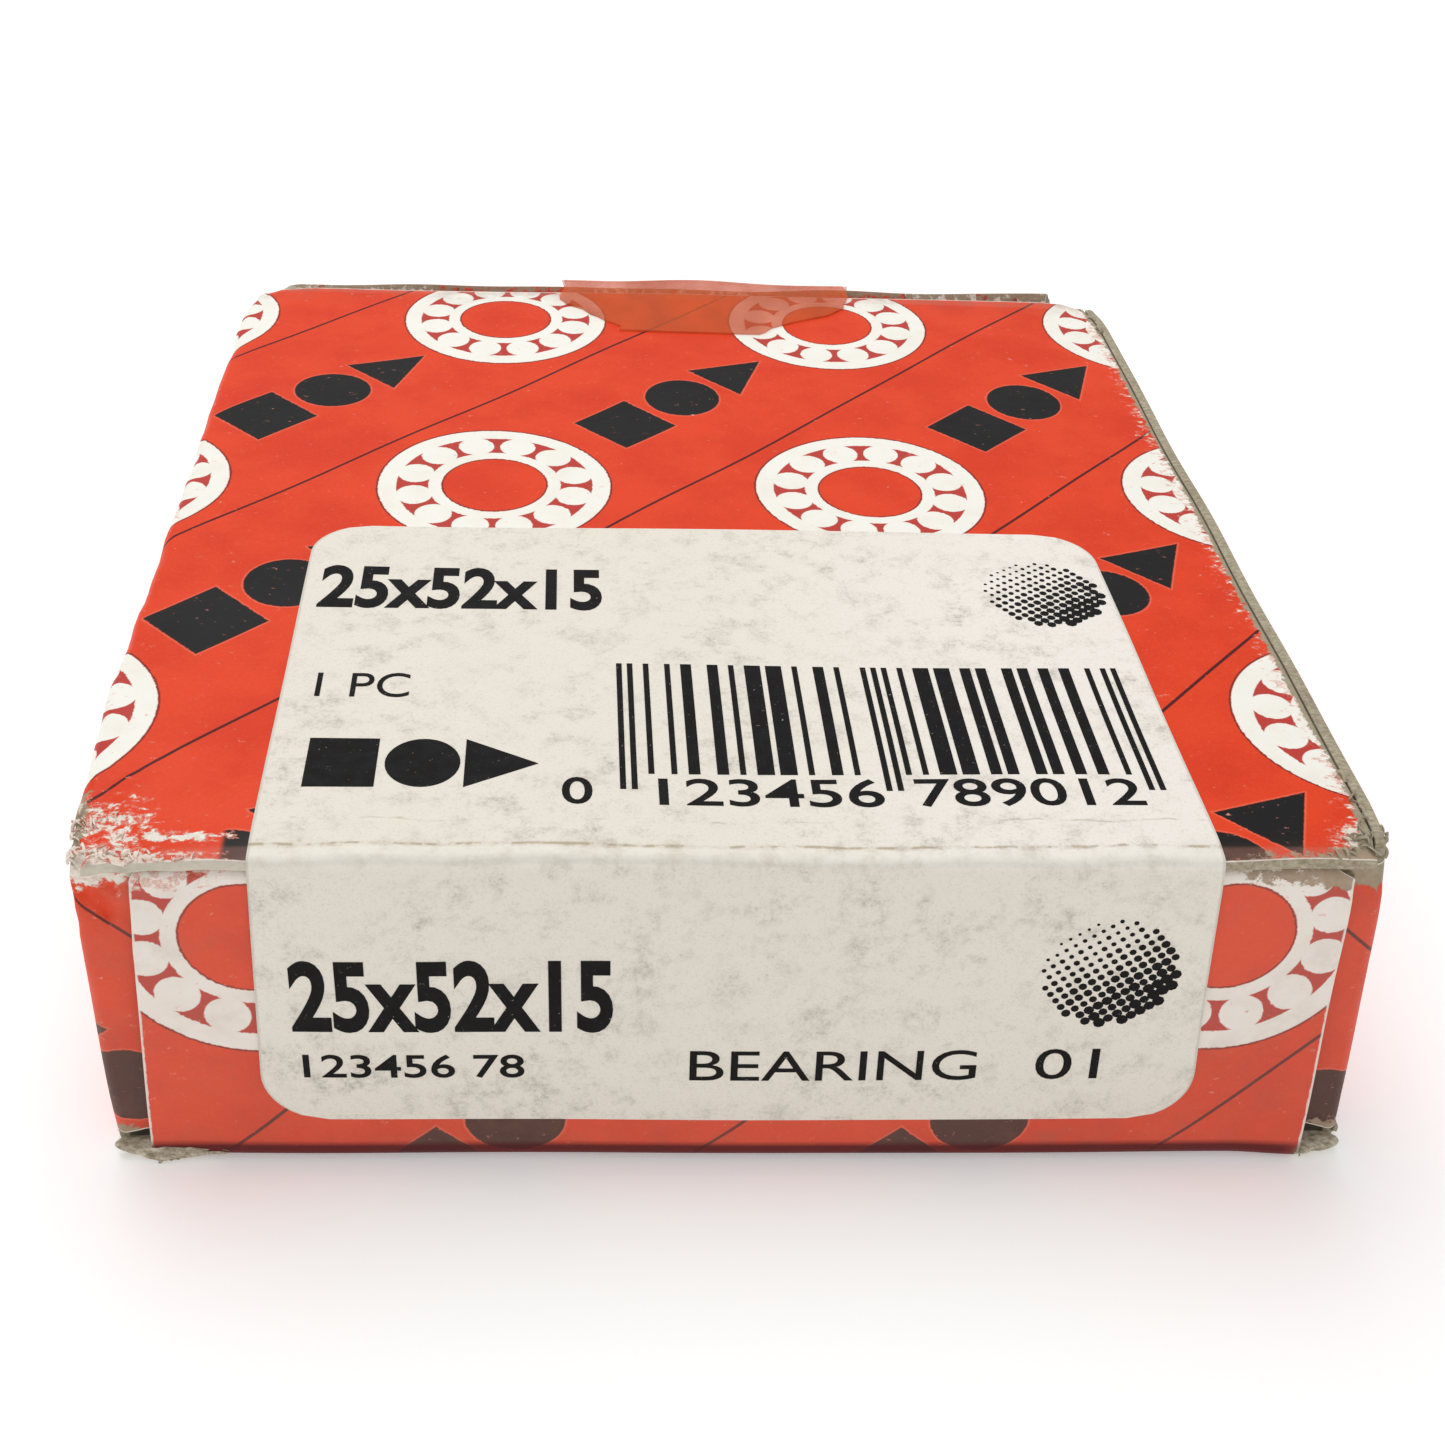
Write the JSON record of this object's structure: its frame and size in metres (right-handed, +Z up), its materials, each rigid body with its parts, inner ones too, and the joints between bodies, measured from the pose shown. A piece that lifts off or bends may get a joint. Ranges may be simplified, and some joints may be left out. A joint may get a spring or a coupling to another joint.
{
  "type": "boxed angular contact ball bearing",
  "caption": "Angular contact ball bearing with a window cage, lying in a worn tuck-end cardboard carton with a paper label and a strip of old tape.",
  "frame": {"origin": "middle of the carton's base, on the surface that it stands on", "axes": "+Z up; -Y towards the labelled end; +X to the right when facing the labelled end; the bearing's axis is Z"},
  "size_m": [0.055, 0.0572, 0.0177],
  "materials": {
    "printed_board": "printed, worn matt",
    "plain_board": "uncoated grey board",
    "label_paper": "soiled matt paper",
    "old_tape": "yellowed, clear",
    "ring_steel": "ground, races polished",
    "ball_steel": "polished",
    "black_ink": "matt print on the label",
    "cage_plastic": "moulded, satin"
  },
  "bodies": {
    "carton": {"base_panel": "printed_board", "left_panel": "printed_board", "right_panel": "printed_board", "top_panel": "printed_board", "glue_flap": "plain_board", "label_top": "label_paper", "tape_top": "old_tape", "outer_ring": "ring_steel"},
    "front_closure": {"front_flap": "printed_board", "label_front": "label_paper"},
    "front_tuck": {"front_tongue": "plain_board"},
    "front_dust_left": {"front_dust_flap_left": "plain_board"},
    "front_dust_right": {"front_dust_flap_right": "plain_board"},
    "back_closure": {"back_flap": "printed_board", "tape_back": "old_tape"},
    "back_tuck": {"back_tongue": "plain_board"},
    "back_dust_left": {"back_dust_flap_left": "plain_board"},
    "back_dust_right": {"back_dust_flap_right": "plain_board"},
    "inner_race": {"inner_ring": "ring_steel"},
    "ball_cage": {"cage": "cage_plastic"},
    "ball_01_body": {"ball_01": "ball_steel"},
    "ball_02_body": {"ball_02": "ball_steel"},
    "ball_03_body": {"ball_03": "ball_steel"},
    "ball_04_body": {"ball_04": "ball_steel"},
    "ball_05_body": {"ball_05": "ball_steel"},
    "ball_06_body": {"ball_06": "ball_steel"},
    "ball_07_body": {"ball_07": "ball_steel"},
    "ball_08_body": {"ball_08": "ball_steel"},
    "ball_09_body": {"ball_09": "ball_steel"},
    "ball_10_body": {"ball_10": "ball_steel"},
    "ball_11_body": {"ball_11": "ball_steel"},
    "ball_12_body": {"ball_12": "ball_steel"},
    "ball_13_body": {"ball_13": "ball_steel"}
  },
  "joints": [
    {"name": "front_flap_hinge", "type": "hinge", "parent": "carton", "child": "front_closure", "pos_m": [0, -0.028, 0.0005], "axis": [1, 0, 0], "range_deg": [0, 86]},
    {"name": "front_tongue_fold", "type": "hinge", "parent": "front_closure", "child": "front_tuck", "pos_m": [0, -0.028, 0.01655], "axis": [1, 0, 0], "range_deg": [-60, 0]},
    {"name": "front_dust_left_fold", "type": "hinge", "parent": "carton", "child": "front_dust_left", "pos_m": [-0.027, -0.02745, 0.0088], "axis": [0, 0, -1], "range_deg": [0, 30]},
    {"name": "front_dust_right_fold", "type": "hinge", "parent": "carton", "child": "front_dust_right", "pos_m": [0.027, -0.02745, 0.0088], "axis": [0, 0, 1], "range_deg": [0, 30]},
    {"name": "back_flap_hinge", "type": "hinge", "parent": "carton", "child": "back_closure", "pos_m": [0, 0.028, 0.0005], "axis": [-1, 0, 0], "range_deg": [0, 86]},
    {"name": "back_tongue_fold", "type": "hinge", "parent": "back_closure", "child": "back_tuck", "pos_m": [0, 0.028, 0.01655], "axis": [-1, 0, 0], "range_deg": [-60, 0]},
    {"name": "back_dust_left_fold", "type": "hinge", "parent": "carton", "child": "back_dust_left", "pos_m": [-0.027, 0.02745, 0.0088], "axis": [0, 0, 1], "range_deg": [0, 30]},
    {"name": "back_dust_right_fold", "type": "hinge", "parent": "carton", "child": "back_dust_right", "pos_m": [0.027, 0.02745, 0.0088], "axis": [0, 0, -1], "range_deg": [0, 30]},
    {"name": "inner_ring_spin", "type": "hinge", "parent": "carton", "child": "inner_race", "pos_m": [0, 0, 0.00805], "axis": [0, 0, 1], "continuous": true},
    {"name": "cage_spin", "type": "hinge", "parent": "carton", "child": "ball_cage", "pos_m": [0, 0, 0.00805], "axis": [0, 0, 1], "continuous": true},
    {"name": "ball_01_roll", "type": "hinge", "parent": "ball_cage", "child": "ball_01_body", "pos_m": [0.0193, 0, 0.00805], "axis": [-0.6428, 0, 0.766], "continuous": true},
    {"name": "ball_02_roll", "type": "hinge", "parent": "ball_cage", "child": "ball_02_body", "pos_m": [0.01709, 0.00897, 0.00805], "axis": [-0.5692, -0.2987, 0.766], "continuous": true},
    {"name": "ball_03_roll", "type": "hinge", "parent": "ball_cage", "child": "ball_03_body", "pos_m": [0.01096, 0.01588, 0.00805], "axis": [-0.3651, -0.529, 0.766], "continuous": true},
    {"name": "ball_04_roll", "type": "hinge", "parent": "ball_cage", "child": "ball_04_body", "pos_m": [0.00233, 0.01916, 0.00805], "axis": [-0.0775, -0.6381, 0.766], "continuous": true},
    {"name": "ball_05_roll", "type": "hinge", "parent": "ball_cage", "child": "ball_05_body", "pos_m": [-0.00684, 0.01805, 0.00805], "axis": [0.2279, -0.601, 0.766], "continuous": true},
    {"name": "ball_06_roll", "type": "hinge", "parent": "ball_cage", "child": "ball_06_body", "pos_m": [-0.01445, 0.0128, 0.00805], "axis": [0.4811, -0.4262, 0.766], "continuous": true},
    {"name": "ball_07_roll", "type": "hinge", "parent": "ball_cage", "child": "ball_07_body", "pos_m": [-0.01874, 0.00462, 0.00805], "axis": [0.6241, -0.1538, 0.766], "continuous": true},
    {"name": "ball_08_roll", "type": "hinge", "parent": "ball_cage", "child": "ball_08_body", "pos_m": [-0.01874, -0.00462, 0.00805], "axis": [0.6241, 0.1538, 0.766], "continuous": true},
    {"name": "ball_09_roll", "type": "hinge", "parent": "ball_cage", "child": "ball_09_body", "pos_m": [-0.01445, -0.0128, 0.00805], "axis": [0.4811, 0.4262, 0.766], "continuous": true},
    {"name": "ball_10_roll", "type": "hinge", "parent": "ball_cage", "child": "ball_10_body", "pos_m": [-0.00684, -0.01805, 0.00805], "axis": [0.2279, 0.601, 0.766], "continuous": true},
    {"name": "ball_11_roll", "type": "hinge", "parent": "ball_cage", "child": "ball_11_body", "pos_m": [0.00233, -0.01916, 0.00805], "axis": [-0.0775, 0.6381, 0.766], "continuous": true},
    {"name": "ball_12_roll", "type": "hinge", "parent": "ball_cage", "child": "ball_12_body", "pos_m": [0.01096, -0.01588, 0.00805], "axis": [-0.3651, 0.529, 0.766], "continuous": true},
    {"name": "ball_13_roll", "type": "hinge", "parent": "ball_cage", "child": "ball_13_body", "pos_m": [0.01709, -0.00897, 0.00805], "axis": [-0.5692, 0.2987, 0.766], "continuous": true}
  ],
  "couplings": [
    {"joint": "front_tongue_fold", "follows": "front_flap_hinge", "ratio": -0.65},
    {"joint": "front_dust_left_fold", "follows": "front_flap_hinge", "ratio": 0.25},
    {"joint": "front_dust_right_fold", "follows": "front_flap_hinge", "ratio": 0.25},
    {"joint": "back_tongue_fold", "follows": "back_flap_hinge", "ratio": -0.65},
    {"joint": "back_dust_left_fold", "follows": "back_flap_hinge", "ratio": 0.25},
    {"joint": "back_dust_right_fold", "follows": "back_flap_hinge", "ratio": 0.25},
    {"joint": "cage_spin", "follows": "inner_ring_spin", "ratio": 0.42121},
    {"joint": "ball_01_roll", "follows": "inner_ring_spin", "ratio": -2.3704},
    {"joint": "ball_02_roll", "follows": "inner_ring_spin", "ratio": -2.3704},
    {"joint": "ball_03_roll", "follows": "inner_ring_spin", "ratio": -2.3704},
    {"joint": "ball_04_roll", "follows": "inner_ring_spin", "ratio": -2.3704},
    {"joint": "ball_05_roll", "follows": "inner_ring_spin", "ratio": -2.3704},
    {"joint": "ball_06_roll", "follows": "inner_ring_spin", "ratio": -2.3704},
    {"joint": "ball_07_roll", "follows": "inner_ring_spin", "ratio": -2.3704},
    {"joint": "ball_08_roll", "follows": "inner_ring_spin", "ratio": -2.3704},
    {"joint": "ball_09_roll", "follows": "inner_ring_spin", "ratio": -2.3704},
    {"joint": "ball_10_roll", "follows": "inner_ring_spin", "ratio": -2.3704},
    {"joint": "ball_11_roll", "follows": "inner_ring_spin", "ratio": -2.3704},
    {"joint": "ball_12_roll", "follows": "inner_ring_spin", "ratio": -2.3704},
    {"joint": "ball_13_roll", "follows": "inner_ring_spin", "ratio": -2.3704}
  ]
}
